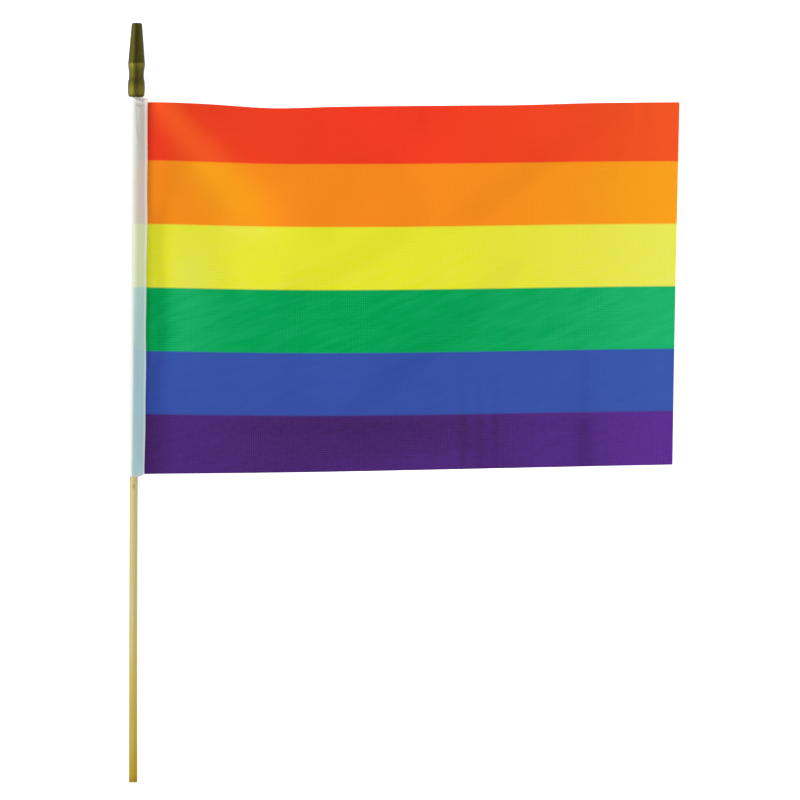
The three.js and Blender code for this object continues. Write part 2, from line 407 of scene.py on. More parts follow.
def shape_grid(piece, points, across, along):
    """Puts a grid's points in place, in the frame, with a map in metres across and along it."""
    piece.data.vertices.foreach_set("co", in_frame(points).ravel())
    corner_points = np.zeros(len(piece.data.loops), int)
    piece.data.loops.foreach_get("vertex_index", corner_points)
    layout = np.stack([across, along], axis=1)[corner_points] * MM
    piece.data.uv_layers.active.name = "print_place"
    piece.data.uv_layers.active.data.foreach_set("uv", layout.ravel())
    piece.data.update()


def thicken(piece, thickness, offset, **settings):
    """Gives a sheet its thickness, and smooths it up to its edges."""
    select_only(piece)
    solidify = piece.modifiers.new("thickness", "SOLIDIFY")
    solidify.thickness = thickness * MM
    solidify.offset = offset
    for name, value in settings.items():
        setattr(solidify, name, value)
    bpy.ops.object.modifier_apply(modifier=solidify.name)
    bpy.ops.object.shade_smooth_by_angle(angle=math.radians(SHEET_SMOOTH))


# %% [markdown]
# The print is painted paler towards the fly and on the slopes of folds that face the light, as a
# painted sheen, and darker along creases, as painted shade. The mesh keeps that as a number at each
# point. A table gives it by the distance from the stick, and the sheen and crease marks are added
# to it in the same way as the folds.

# %% The printed cloth as a mesh
CLOTH_COLUMNS = 210
CLOTH_ROWS = 146
CLOTH_THICKNESS = 0.3
TONGUE_COLUMNS = 4
PRINT_SHRINK, PRINT_STEADY = 0.018, 95.0
# Painted sheen: the print is painted paler by the distance from the stick, most towards the fly.
SHEEN_BY_OUT = [
    (13, 0.1), (24, 0.1), (36, 0.3), (72, 0.25), (122, 0.12), (172, 0.05), (222, 0.05),
    (272, 0.15), (322, 0.32), (372, 0.55), (413, 0.85), (440, 1.0),
]
# Painted sheen on fold slopes that face the light; the negative marks are painted shade along creases.
SHEEN_AND_CREASE_SHADE = [
    Fold((34, 554), (92, 482), (0.9, 0.6), (24, 40), (16, 34), 50),
    Fold((42, 420), (40, 350), (0.45, 0.4), (16, 16), (44, 44), 44),
    Fold((112, 298), (226, 298), (-0.15, -0.13), (26, 24), (10, 10), 50),
    Fold((180, 261), (262, 263), (0.16, 0.3), (14, 14), (14, 22), 50),
    Fold((276, 299), (276, 262), (-0.2, -0.17), (8, 8), (7, 7), 10),
    Fold((289, 299), (289, 264), (-0.17, -0.17), (6, 6), (6, 6), 10),
    Fold((301, 301), (301, 290), (-0.2, -0.14), (5, 5), (5, 5), 8),
    Fold((336, 290), (336, 264), (0.1, 0.1), (30, 30), (28, 28), 14),
    Fold((374, 298), (374, 264), (-0.22, -0.2), (11, 11), (11, 11), 12),
]

cloth, share_out, share_up = add_grid(CLOTH_COLUMNS, CLOTH_ROWS)
column = share_out * CLOTH_COLUMNS - TONGUE_COLUMNS
u = np.clip(column / (CLOTH_COLUMNS - TONGUE_COLUMNS), 0, 1)
out, up, hoist, fly = cloth_place(u, share_up)
out = out + TONGUE * np.clip(column / TONGUE_COLUMNS, -1, 0)
height = cloth_height(out, up, hoist, fly)
below_head = (1 - share_up) * between((HOIST_HEIGHT, FLY_HEIGHT), u)
print_down = below_head + PRINT_SHRINK * u**2 * (below_head - PRINT_STEADY)
shape_grid(cloth, np.stack([out, up, height], axis=1), u * CUT_WIDTH, print_down)
sheen_and_shade_marks = sum(fold_height(rub, out, up) for rub in SHEEN_AND_CREASE_SHADE)
keep_number(cloth, "painted_sheen_and_shade", np.interp(out, *zip(*SHEEN_BY_OUT)) + sheen_and_shade_marks)
thicken(cloth, CLOTH_THICKNESS, 1, material_offset=1, material_offset_rim=0)
print("cloth's points:", len(cloth.data.vertices), "highest in mm:", round(float(height.max()), 1))

# %% [markdown]
# ## The printed cloth, its finish
# This is a light plain-woven polyester with dye printed into it, so the threads still show and
# the surface is matt with a faint sheen. The six stripes are even bands, from red at the top to
# purple at the bottom, and the cutter trimmed the outer two. Each has a full colour and a paler one
# for the painted sheen.

# %% The print's colours
Stripe = namedtuple("Stripe", "name colour ends")
STRIPES = [
    Stripe("red", "D8331D", 48.3),
    Stripe("orange", "DD7A18", 101.2),
    Stripe("yellow", "CCCD26", 154.2),
    Stripe("green", "008F48", 206.6),
    Stripe("blue", "304793", 259.3),
    Stripe("purple", "3F215E", 330.0),
]
PALE_COLOURS = ["D6491D", "DC8D17", "CFCD4B", "189E5D", "324D95", "50297E"]
PRINT_LENGTH = STRIPES[-1].ends
PRINT_SOFTNESS = 0.35
print("stripes end in mm below the head:", [(stripe.name, stripe.ends) for stripe in STRIPES])


def stripe_ramp(tree, along, colours):
    """The six bands as a ramp along the print, each in the colour that is given for it."""
    ramp = add_node(tree, "ShaderNodeValToRGB", inputs={0: along})
    stops = ramp.color_ramp.elements
    stops[0].color = linear(colours[0])
    stops[1].position = 1.0
    stops[1].color = linear(colours[-1])
    for here, after, stripe in zip(colours, colours[1:], STRIPES):
        for side, colour in ((-PRINT_SOFTNESS, here), (PRINT_SOFTNESS, after)):
            stop = stops.new((stripe.ends + side) / PRINT_LENGTH)
            stop.color = linear(colour)
    return ramp.outputs["Color"]


def print_axes(tree):
    """Metres across the print, and the share of the way down it."""
    place = add_node(tree, "ShaderNodeUVMap", {"uv_map": "print_place"})
    axes = add_node(tree, "ShaderNodeSeparateXYZ", inputs={0: place.outputs[0]})
    down = add_node(tree, "ShaderNodeMath", {"operation": "DIVIDE"},
                    {0: axes.outputs["Y"], 1: PRINT_LENGTH * MM})
    return place.outputs[0], down.outputs[0]


# %% [markdown]
# Real threads are a third of a millimetre apart, which is finer than the picture can show, so they
# are drawn about two millimetres apart. Where they lie closer together and farther apart, the
# green and the blue have faint slanting streaks a few millimetres wide. The purple is also mottled,
# because the darkest dye took unevenly.

# %% Threads, streaks and mottle
THREAD_DRAWN = 1.9
THREAD_DEPTH = 0.02
WAVE_SPACING = math.pi / 10    # how far apart a wave texture's lines are at scale 1
PATCH_SCALE = 1.6
PATCH_LOW, PATCH_HIGH = 0.38, 0.62
STREAK_WIDTH, STREAK_LENGTH = 5.4, 34.0
STREAK_LEAN = 20
STREAKS_SHOW = 0.48
MOTTLE_SIZE, MOTTLE_SHOWS = 4.5, 0.46


def thread_pattern(tree, place):
    """The threads of a plain weave: two sets of lines, each fading in and out in patches."""
    sets = []
    for direction, patch_shape in (("X", (24, 9, 1)), ("Y", (9, 24, 1))):
        lines = add_node(tree, "ShaderNodeTexWave", {"bands_direction": direction}, {
            "Vector": place, "Scale": WAVE_SPACING / (THREAD_DRAWN * MM), "Distortion": 2.6,
            "Detail": 3.0, "Detail Scale": 2.4})
        stretch = add_node(tree, "ShaderNodeMapping", inputs={"Vector": place, "Scale": patch_shape})
        patches = add_node(tree, "ShaderNodeTexNoise", inputs={
            "Vector": stretch.outputs[0], "Scale": PATCH_SCALE, "Detail": 2.0})
        strength = add_node(tree, "ShaderNodeMapRange", inputs={
            0: patches.outputs[0], 1: PATCH_LOW, 2: PATCH_HIGH})
        centred = add_node(tree, "ShaderNodeMath", {"operation": "SUBTRACT"},
                           {0: lines.outputs["Fac"], 1: 0.5})
        shown = add_node(tree, "ShaderNodeMath", {"operation": "MULTIPLY"},
                         {0: centred.outputs[0], 1: strength.outputs[0]})
        sets.append(shown.outputs[0])
    both = add_node(tree, "ShaderNodeMath", {"operation": "ADD"}, {0: sets[0], 1: sets[1]})
    return both.outputs[0]


def slanting_streaks(tree, place):
    """Faint slanting streaks, where threads lie closer together and farther apart."""
    turned = add_node(tree, "ShaderNodeMapping", inputs={
        "Vector": place, "Rotation": (0, 0, math.radians(STREAK_LEAN))})
    drawn_out = add_node(tree, "ShaderNodeMapping", inputs={
        "Vector": turned.outputs[0],
        "Scale": (1 / (STREAK_LENGTH * MM), 1 / (STREAK_WIDTH * MM), 1)})
    streaks = add_node(tree, "ShaderNodeTexNoise", inputs={
        "Vector": drawn_out.outputs[0], "Scale": 1.0, "Detail": 2.0, "Roughness": 0.55})
    centred = add_node(tree, "ShaderNodeMapRange", inputs={
        0: streaks.outputs[0], 1: NOISE_LOW, 2: NOISE_HIGH,
        3: -STREAKS_SHOW / 2, 4: STREAKS_SHOW / 2})
    return centred.outputs[0]


def fine_mottle(tree, place):
    """A fine mottle with no direction, where the darkest dye took unevenly."""
    spots = add_node(tree, "ShaderNodeTexNoise", inputs={
        "Vector": place, "Scale": 1 / (MOTTLE_SIZE * MM), "Detail": 3.0, "Roughness": 0.6})
    centred = add_node(tree, "ShaderNodeMapRange", inputs={
        0: spots.outputs[0], 1: NOISE_LOW, 2: NOISE_HIGH,
        3: -MOTTLE_SHOWS / 2, 4: MOTTLE_SHOWS / 2})
    return centred.outputs[0]


# %% [markdown]
# The colour at a place lies between the full and the pale one: nearer the pale one where the
# mesh's painted sheen says so, and where the threads, the streaks and the mottle do. These show
# less on the upper stripes. The front and the back are the same cloth. The dye went in from the
# front, so the back is a little paler.

# %% Printed polyester
THREADS_SHOW = 0.42
THREADS_REACH = 0.7
UNEVEN_FROM, UNEVEN_TO = 100.0, 165.0
UNEVEN_ABOVE = 0.2
MOTTLED_FROM, MOTTLED_TO, MOTTLED_SHARE = 257.0, 262.0, 0.65


def woven_polyester(name, colours, pale_colours, thread_tone):
    """Printed polyester in six bands of these colours, painted paler towards the fly as a painted
    sheen.
    """
    material, tree, output = new_material(name)
    place, down = print_axes(tree)
    threads = thread_pattern(tree, place)
    # The mesh's painted sheen moves the colour towards the pale one, and its painted crease shade
    # deepens it.
    sheen_amount = add_node(tree, "ShaderNodeAttribute", {"attribute_name": "painted_sheen_and_shade"})
    axes = add_node(tree, "ShaderNodeSeparateXYZ", inputs={0: place})
    on_purple = add_node(tree, "ShaderNodeMapRange", inputs={
        0: axes.outputs["Y"], 1: MOTTLED_FROM * MM, 2: MOTTLED_TO * MM, 4: MOTTLED_SHARE})
    streaked = add_node(tree, "ShaderNodeMix", inputs={
        "Factor": on_purple.outputs[0], 2: slanting_streaks(tree, place), 3: fine_mottle(tree, place)})
    uneven = add_node(tree, "ShaderNodeMath", {"operation": "MULTIPLY_ADD"}, {
        0: threads, 1: THREADS_SHOW, 2: streaked.outputs[0]})
    lower = add_node(tree, "ShaderNodeMapRange", {"interpolation_type": "SMOOTHSTEP"}, {
        0: axes.outputs["Y"], 1: UNEVEN_FROM * MM, 2: UNEVEN_TO * MM, 3: UNEVEN_ABOVE, 4: 1.0})
    paleness = add_node(tree, "ShaderNodeMath", {"operation": "MULTIPLY_ADD"}, {
        0: uneven.outputs[0], 1: lower.outputs[0], 2: sheen_amount.outputs["Fac"]})
    stripes = add_node(
        tree, "ShaderNodeMix",
        {"data_type": "RGBA", "clamp_factor": False, "clamp_result": True},
        {"Factor": paleness.outputs[0], 6: stripe_ramp(tree, down, colours),
         7: stripe_ramp(tree, down, pale_colours)})
    tone = add_node(tree, "ShaderNodeMapRange", inputs={
        0: threads, 1: -THREADS_REACH, 2: THREADS_REACH, 3: 1 - thread_tone, 4: 1 + thread_tone})
    toned = add_node(tree, "ShaderNodeVectorMath", {"operation": "SCALE"},
                     {0: stripes.outputs[2], "Scale": tone.outputs[0]})
    bump = add_node(tree, "ShaderNodeBump", inputs={
        "Strength": 0.35, "Distance": THREAD_DEPTH * MM, "Height": threads})
    shader = add_node(tree, "ShaderNodeBsdfPrincipled", inputs={
        "Base Color": toned.outputs[0], "Roughness": 0.8, "Specular IOR Level": 0.03,
        "Normal": bump.outputs[0]})
    tree.links.new(shader.outputs[0], output.inputs["Surface"])
    return material


BACK_COLOURS = ["CC4D35", "D58935", "C8C651", "26995E", "475C99", "593E7A"]
front_colours = [stripe.colour for stripe in STRIPES]
cloth_front = woven_polyester("printed_polyester", front_colours, PALE_COLOURS, thread_tone=0.05)
cloth_back = woven_polyester(
    "printed_polyester_back", BACK_COLOURS, BACK_COLOURS, thread_tone=0.06)
finish_piece(cloth, "printed_cloth", "cloth", [cloth_front, cloth_back])

# %% [markdown]
# ## The white strip
# The pocket for the stick is a strip of thin white polyester. Its two long edges are turned in and
# closed on the cloth, one in front and one behind, and its middle wraps loosely round the stick.
# Seen from its end it is a teardrop. That outline is worked out once, as a path that turns under,
# runs up to the stick, goes round it and comes back underneath, and the strip repeats it all the
# way up. Points are spread evenly along the path, so the cloth is neither stretched nor bunched.

# %% The strip's outline seen from its end
STRIP_RADIUS = 4.55
STRIP_THICKNESS = 0.28
LAYER = 0.5
TURN_IN = 2.2
TURN_RADIUS = 0.24
TURN_POINTS = 9
SEAM = SEAM_DROP + SOLID_CLOTH / 2 - CLOTH_THICKNESS / 2
ARC_POINTS = 48


def arc(centre, radius, start, finish, count):
    """Points along an arc, its angles in radians."""
    angles = np.linspace(start, finish, count)
    return np.stack([centre[0] + radius * np.cos(angles), centre[1] + radius * np.sin(angles)], 1)


def strip_outline(columns):
    """The strip's middle line round the stick's axis, front edge first, and its path length."""
    lower_front = LAYER - SEAM
    upper_front = lower_front + 2 * TURN_RADIUS
    upper_back = -LAYER - SEAM
    lower_back = upper_back - 2 * TURN_RADIUS
    edge = REACH - TURN_RADIUS
    half = math.pi / 2
    turn_front = arc((edge, lower_front + TURN_RADIUS), TURN_RADIUS, -half, half, TURN_POINTS)
    turn_back = arc((edge, lower_back + TURN_RADIUS), TURN_RADIUS, -half, half, TURN_POINTS)

    def touch(height, side):
        """The angle where the straight run from an edge touches the round."""
        reach = math.hypot(edge, height)
        return math.atan2(height, edge) + side * math.acos(STRIP_RADIUS / reach)

    round_stick = arc((0, 0), STRIP_RADIUS, touch(upper_front, 1),
                      touch(lower_back, -1) + 2 * math.pi, ARC_POINTS)
    path = np.concatenate([
        [[REACH - TURN_IN, lower_front]], turn_front, round_stick, turn_back,
        [[REACH - TURN_IN, upper_back]]])
    steps = np.hypot(*np.diff(path, axis=0).T)
    along = np.concatenate([[0], np.cumsum(steps)])
    even = np.linspace(0, along[-1], columns + 1)
    return np.stack([np.interp(even, along, path[:, i]) for i in (0, 1)], 1), even


STRIP_COLUMNS = 96
outline, outline_length = strip_outline(STRIP_COLUMNS)
print("strip's cut width in mm:", round(float(outline_length[-1]), 1))

# %% [markdown]
# The strip isn't quite even. Its mouth under the tip is crumpled, with one oblique crease and some
# upright ones, its long edge wanders a little, it is narrower towards the foot, and its lower
# corner is cut higher. The rows of the grid lie closer together near the mouth.

# %% The strip as a mesh
STRIP_FOOT, STRIP_HEAD = 254.2, 569.7
STRIP_ROWS = 200
ROW_CROWDING = 1.8
CORNER_LIFT, CORNER_START = 2.3, 3.0
MOUTH_CREASES = [
    Fold((-2.6, 569.0), (5.6, 563.6), (1.0, 0.9), (1.1, 1.1), (1.3, 1.3), 1.5),
    Fold((2.6, 569.5), (3.4, 561.0), (-1.0, -0.5), (2.6, 2.6), (2.4, 2.4), 4.0),
    Fold((6.6, 569.5), (6.9, 556.5), (0.9, 0.3), (1.0, 1.0), (1.1, 1.1), 5.0),
    Fold((8.6, 567.5), (9.0, 547.0), (0.6, 0.1), (0.8, 0.8), (1.2, 1.2), 4.0),
    Fold((1.0, 561.5), (2.6, 530.0), (-0.5, -0.3), (1.8, 1.8), (2.0, 2.0), 8.0),
    Fold((0.6, 540.5), (1.5, 533.0), (0.35, 0.25), (1.4, 1.4), (1.6, 1.6), 5.0),
]
EDGE_WANDER = 0.22
WANDER_LONG, WANDER_SHORT = 23.0, 9.1
SHORT_SHARE, SHORT_START = 0.6, 1.0
FOOT_NARROWING, NARROWING_FROM = 0.7, 400.0
HEAD_DROP = 1.1

strip, share_across, share_up = add_grid(STRIP_COLUMNS, STRIP_ROWS)
column = np.rint(share_across * STRIP_COLUMNS).astype(int)
side_out, side_up = outline[column].T
near_edge = np.clip((side_out - CORNER_START) / (REACH - CORNER_START), 0, 1)
foot = STRIP_FOOT + CORNER_LIFT * near_edge**2
head = STRIP_HEAD - HEAD_DROP * near_edge**2
up = foot + (head - foot) * (1 - (1 - share_up) ** ROW_CROWDING)
short_wave = SHORT_SHARE * np.sin(up / WANDER_SHORT + SHORT_START)
wander = EDGE_WANDER * (np.sin(up / WANDER_LONG) + short_wave)
narrowing = FOOT_NARROWING * np.clip((NARROWING_FROM - up) / (NARROWING_FROM - STRIP_FOOT), 0, 1)
wander = (wander - narrowing) * near_edge
raised = sum(fold_height(crease, side_out, up) for crease in MOUTH_CREASES)
is_front = side_up > -SEAM
out = bow_at(up) + side_out + wander
height = axis_height(up) + side_up + np.where(is_front, raised, 0)
shape_grid(strip, np.stack([out, up, height], axis=1), outline_length[column], HOIST_HEAD - up)
print("strip's points:", len(up), "up the stick from", STRIP_FOOT, "to", STRIP_HEAD)

# %% [markdown]
# The print's own edge is hidden in the pocket, and shows through the thin white cloth as a tint.
# That edge is a line up the strip, nearly straight for most of the way and wavy near the top. The
# tint is kept on the mesh as a number: 0 where the strip is plain white, 1 where the print lies
# under it. Under the turned-in edge, two layers of white hide about half of it.

# %% Where the print shows through the strip
HiddenEdge = namedtuple("HiddenEdge", "up out")
HIDDEN_EDGE = [
    HiddenEdge(254, -1.5), HiddenEdge(285, -1.1), HiddenEdge(334, -0.65), HiddenEdge(390, -0.6),
    HiddenEdge(434, -0.9), HiddenEdge(505, -1.5), HiddenEdge(511, -0.3), HiddenEdge(518, 2.1),
    HiddenEdge(528, 3.6), HiddenEdge(534, 1.7), HiddenEdge(540, 0.0), HiddenEdge(546, 0.9),
    HiddenEdge(553, 2.4), HiddenEdge(559, 3.2), HiddenEdge(565, 4.6), HiddenEdge(570, 5.5),
]
TINT_START, TINT_END = 0.75, 0.3
FOOT_FADE, HEAD_FADE = 0.8, 1.5
HEM_UP = (400, 560)
HEM_WIDTH = (1.7, 2.5)
HEM_SHOWS = 0.45
starts = np.interp(up, [edge.up for edge in HIDDEN_EDGE], [edge.out for edge in HIDDEN_EDGE])
inside = smoothstep((side_out - starts) / TINT_START + 0.5)
clear = smoothstep((REACH - np.interp(up, HEM_UP, HEM_WIDTH) - side_out) / TINT_END + 0.5)
within_print = smoothstep((up - STRIP_FOOT) / FOOT_FADE) * smoothstep((HOIST_HEAD - up) / HEAD_FADE)
under_hem = HEM_SHOWS + (1 - HEM_SHOWS) * clear
tint = np.where(is_front | (side_out < REACH), inside * under_hem * within_print, 0)
keep_number(strip, "print_shows", tint)
print("share of the strip that is tinted:", round(float(tint.mean()), 2))

# %% [markdown]
# A second number is how light the strip is painted. In the lower part it is painted darker just
# past the print's hidden edge, as painted shade where the strip falls away from the light. The
# turned-in edge is lighter, partly from its two layers and partly as a painted highlight, and the
# crumpled mouth has painted shade patches and painted highlight streaks.

# %% Painted shade and highlights on the strip
HEM_TONE = (1.17, 1.34)
TURNED_EDGE_SHADE = [(0.0, 0.79), (1.4, 0.8), (3.4, 0.95), (5.5, 1.0)]
TURNED_SHADE_BELOW = [(360, 1.0), (430, 0.0)]
MOUTH_SHADE_AND_HIGHLIGHT = [
    Fold((0.5, 568.4), (5.0, 567.4), (-0.24, -0.26), (1.3, 1.3), (1.3, 1.3), 1.0),
    Fold((0.8, 563.2), (4.2, 562.0), (-0.2, -0.2), (2.1, 2.1), (2.1, 2.1), 1.2),
    Fold((-3.0, 568.6), (5.0, 564.9), (0.12, 0.26), (0.9, 0.9), (0.9, 0.9), 0.8),
    Fold((7.6, 566.2), (7.6, 558.6), (0.3, 0.22), (1.3, 1.3), (1.3, 1.3), 3.0),
]
# Painted shade just past the print's hidden edge, in the lower part of the strip.
turned = 1 - np.interp(side_out - starts, *zip(*TURNED_EDGE_SHADE))
turned = turned * inside * np.interp(up, *zip(*TURNED_SHADE_BELOW))
# The hem is lighter, partly from its two layers and partly as a painted highlight.
hem = (np.interp(up, HEM_UP, HEM_TONE) - 1) * (1 - clear)
# Painted shade patches and painted highlight streaks at the crumpled mouth.
mouth_shade_and_highlight = sum(fold_height(tone, side_out, up) for tone in MOUTH_SHADE_AND_HIGHLIGHT)
keep_number(strip, "layers_and_painted_light", np.where(is_front, 1 - turned + hem + mouth_shade_and_highlight, 1))
thicken(strip, STRIP_THICKNESS, 0)
print("strip's points with its thickness:", len(strip.data.vertices))

# %% [markdown]
# The strip's finish is the same thin polyester, undyed. The tints are what the print's colours
# become under it, pale and greyed.

# %% White polyester, with the print showing through
SHOWN_COLOURS = ["BDBCB5", "C8C0B5", "CAD2AE", "A9C7C3", "A3C3CC", "A3C1C6"]
material, tree, output = new_material("white_polyester")
place, down = print_axes(tree)
tints = stripe_ramp(tree, down, SHOWN_COLOURS)
amount = add_node(tree, "ShaderNodeAttribute", {"attribute_name": "print_shows"})
threads = thread_pattern(tree, place)
mixed = add_node(tree, "ShaderNodeMix", {"data_type": "RGBA"}, {
    "Factor": amount.outputs["Fac"], 6: linear("C2C3BC"), 7: tints})
# The strip's colour is scaled by its painted shade and highlights.
layers = add_node(tree, "ShaderNodeAttribute", {"attribute_name": "layers_and_painted_light"})
layered = add_node(tree, "ShaderNodeVectorMath", {"operation": "SCALE"},
                   {0: mixed.outputs[2], "Scale": layers.outputs["Fac"]})
bump = add_node(tree, "ShaderNodeBump", inputs={
    "Strength": 0.3, "Distance": THREAD_DEPTH * MM, "Height": threads})
shader = add_node(tree, "ShaderNodeBsdfPrincipled", inputs={
    "Base Color": layered.outputs[0], "Roughness": 0.75, "Specular IOR Level": 0.15,
    "Normal": bump.outputs[0]})
tree.links.new(shader.outputs[0], output.inputs["Surface"])
finish_piece(strip, "white_pocket_strip", "pocket_strip", [material])

# %% [markdown]
# ## The wooden stick
# The stick is a dowel: a long round rod, sanded, and cut square at its ends. It is made as a
# circle that is extruded in steps. Each step moves a little sideways and up, so the rod comes out
# with the same slight bow and rise as the solid, and the first and last steps change the ring's
# size to take the sharp edge off the ends.

# %% Rings, and closing a round piece
ROUND_FACES = 48
ROUND_SMOOTH = 35       # a round piece is smooth over edges blunter than this many degrees
MERGE_WITHIN = 2e-6


def stick_point(up):
    """A point on the stick's axis, in the frame."""
    return in_frame([bow_at(up), up, axis_height(up)])


def extrude_ring(from_up, to_up, size):
    """Extrudes the selected ring along the stick, and changes its size."""
    move = stick_point(to_up) - stick_point(from_up)
    bpy.ops.mesh.extrude_region_move(TRANSFORM_OT_translate={"value": tuple(move)})
    bpy.ops.transform.resize(value=(size, 1, size), center_override=tuple(stick_point(to_up)))


def add_ring(radius, up):
    """A filled circle across the stick's axis, in edit mode with all of it selected."""
    bpy.ops.object.select_all(action="DESELECT")
    bpy.ops.mesh.primitive_circle_add(
        vertices=ROUND_FACES, radius=radius * MM, fill_type="NGON",
        location=tuple(stick_point(up)), rotation=(math.radians(90), 0, 0))
    piece = bpy.context.object
    bpy.ops.object.transform_apply(location=True, rotation=True, scale=True)
    bpy.ops.object.mode_set(mode="EDIT")
    bpy.ops.mesh.select_mode(type="FACE")
    bpy.ops.mesh.select_all(action="SELECT")
    return piece


def close_mesh():
    """Merges doubled points, turns the faces outwards and leaves edit mode."""
    bpy.ops.mesh.select_all(action="SELECT")
    bpy.ops.mesh.remove_doubles(threshold=MERGE_WITHIN)
    bpy.ops.mesh.normals_make_consistent(inside=False)
    bpy.ops.object.mode_set(mode="OBJECT")


def rest_and_smooth(piece):
    """Flattens a round piece where it lies on the table, and smooths it between crisp edges."""
    for vertex in piece.data.vertices:
        vertex.co.z = max(vertex.co.z, 0.0)
    select_only(piece)
    bpy.ops.object.shade_smooth_by_angle(angle=math.radians(ROUND_SMOOTH))


# %% [markdown]
# The stick is one such ring, drawn out from its lower end to its upper one with a ring every few
# centimetres, which is enough for so slight a bow.

# %% The stick as a mesh
STATION = 40.0
END_EDGE = 0.5
EDGE_STEP, EDGE_SWELL = 0.35, 0.7    # this share along the edge, the ring has grown by that share

end_size = (STICK_RADIUS - END_EDGE) / STICK_RADIUS
step_size = 1 + (1 / end_size - 1) * EDGE_SWELL
stick = add_ring(STICK_RADIUS - END_EDGE, 0)
extrude_ring(0, END_EDGE * EDGE_STEP, step_size)
extrude_ring(END_EDGE * EDGE_STEP, END_EDGE, 1 / end_size / step_size)
stations = [END_EDGE, *np.arange(STATION, STICK_LENGTH, STATION), STICK_LENGTH - END_EDGE]
for here, there in zip(stations, stations[1:]):
    extrude_ring(here, there, 1)
extrude_ring(STICK_LENGTH - END_EDGE, STICK_LENGTH, end_size)
close_mesh()
rest_and_smooth(stick)
print("stick's points:", len(stick.data.vertices))

# %% [markdown]
# The stick's sides are painted darker than its top, as painted shade where the round turns away
# from the light. The mesh keeps that as a number too, by how far each point lies from the axis,
# across the stick.

# %% The stick's painted side shade
SIDE_SHADE = [
    (-3.5, 0.7), (-2.4, 0.71), (-1.6, 0.8), (-0.8, 0.95), (0, 1), (2.2, 0.98), (3.5, 0.76),
]
places = (points_of(stick) - FOOT) / MM
across = places[:, 0] - bow_at(places[:, 1])
keep_number(stick, "painted_side_shade", np.interp(across, *zip(*SIDE_SHADE)))
print("across the stick in mm:", round(float(across.min()), 2), round(float(across.max()), 2))

# %% [markdown]
# The wood is a pale, close-grained kind such as ramin or birch, sanded and left bare. Its grain
# runs the length of the stick as fine streaks a fraction of a millimetre wide and some centimetres
# long, with broader patches in it that are darker and lighter.

# %% The wood's grain
GRAIN_WIDTH = 0.55
GRAIN_LENGTH = 60.0
PATCHES_TO_A_METRE = (300, 14, 300)
STREAK_TONES = (0.84, 1.08)
PATCH_TONES = (0.93, 1.05)

material, tree, output = new_material("bare_ramin")
position = add_node(tree, "ShaderNodeTexCoord").outputs["Object"]
stretch = add_node(tree, "ShaderNodeMapping", inputs={
    "Vector": position,
    "Scale": (1 / (GRAIN_WIDTH * MM), 1 / (GRAIN_LENGTH * MM), 1 / (GRAIN_WIDTH * MM))})
streaks = add_node(tree, "ShaderNodeTexNoise", inputs={
    "Vector": stretch.outputs[0], "Scale": 0.6, "Detail": 4.0, "Roughness": 0.6})
broad = add_node(tree, "ShaderNodeMapping", inputs={
    "Vector": position, "Scale": PATCHES_TO_A_METRE})
patches = add_node(tree, "ShaderNodeTexNoise", inputs={
    "Vector": broad.outputs[0], "Scale": 1.0, "Detail": 2.0})
streak_tone = add_node(tree, "ShaderNodeMapRange", inputs={
    0: streaks.outputs[0], 1: NOISE_LOW, 2: NOISE_HIGH, 3: STREAK_TONES[0], 4: STREAK_TONES[1]})
patch_tone = add_node(tree, "ShaderNodeMapRange", inputs={
    0: patches.outputs[0], 1: NOISE_LOW, 2: NOISE_HIGH, 3: PATCH_TONES[0], 4: PATCH_TONES[1]})
tone = add_node(tree, "ShaderNodeMath", {"operation": "MULTIPLY"},
                {0: streak_tone.outputs[0], 1: patch_tone.outputs[0]})
# Painted shade on the stick's sides.
sides = add_node(tree, "ShaderNodeAttribute", {"attribute_name": "painted_side_shade"})
darkened = add_node(tree, "ShaderNodeMath", {"operation": "MULTIPLY"},
                    {0: tone.outputs[0], 1: sides.outputs["Fac"]})
print("grain in mm:", GRAIN_WIDTH, "wide", GRAIN_LENGTH, "long")

# %% [markdown]
# The wood has yellowed towards the handled end, which is a little worn and browner. A colour ramp
# up the stick gives its age.

# %% The wood's age
AGED_LENGTH = 260.0
AGE_STOPS = [
    (0.0, "8C7018"), (0.02, "9E8418"), (0.12, "AC963A"), (0.3, "B6A350"), (0.58, "BBAF77"),
    (1.0, "BCB07A"),
]

axes = add_node(tree, "ShaderNodeSeparateXYZ", inputs={0: position})
upward = add_node(tree, "ShaderNodeMapRange", inputs={
    0: axes.outputs["Y"], 1: FOOT[1], 2: FOOT[1] + AGED_LENGTH * MM})
age = add_node(tree, "ShaderNodeValToRGB", inputs={0: upward.outputs[0]})
age.color_ramp.elements[1].position = AGE_STOPS[-1][0]
age.color_ramp.elements[1].color = linear(AGE_STOPS[-1][1])
age.color_ramp.elements[0].color = linear(AGE_STOPS[0][1])
for where, colour in AGE_STOPS[1:-1]:
    age.color_ramp.elements.new(where).color = linear(colour)
grained = add_node(tree, "ShaderNodeVectorMath", {"operation": "SCALE"},
                   {0: age.outputs["Color"], "Scale": darkened.outputs[0]})
print("colours along the stick:", len(AGE_STOPS))

# %% [markdown]
# There is one small knot, just below the cloth. It is a soft spot, longer than it is wide, round a
# place on the stick's top. The grain is felt as well as seen, so it also drives a slight bump.

# %% The knot, and bare ramin as a whole
KNOT = (0.5, 246.2, 8.3)
KNOT_SIZE = (1.2, 2.8, 2.5)
KNOT_CORE, KNOT_SHOWS = 0.3, 0.75
GRAIN_DEPTH = 0.05

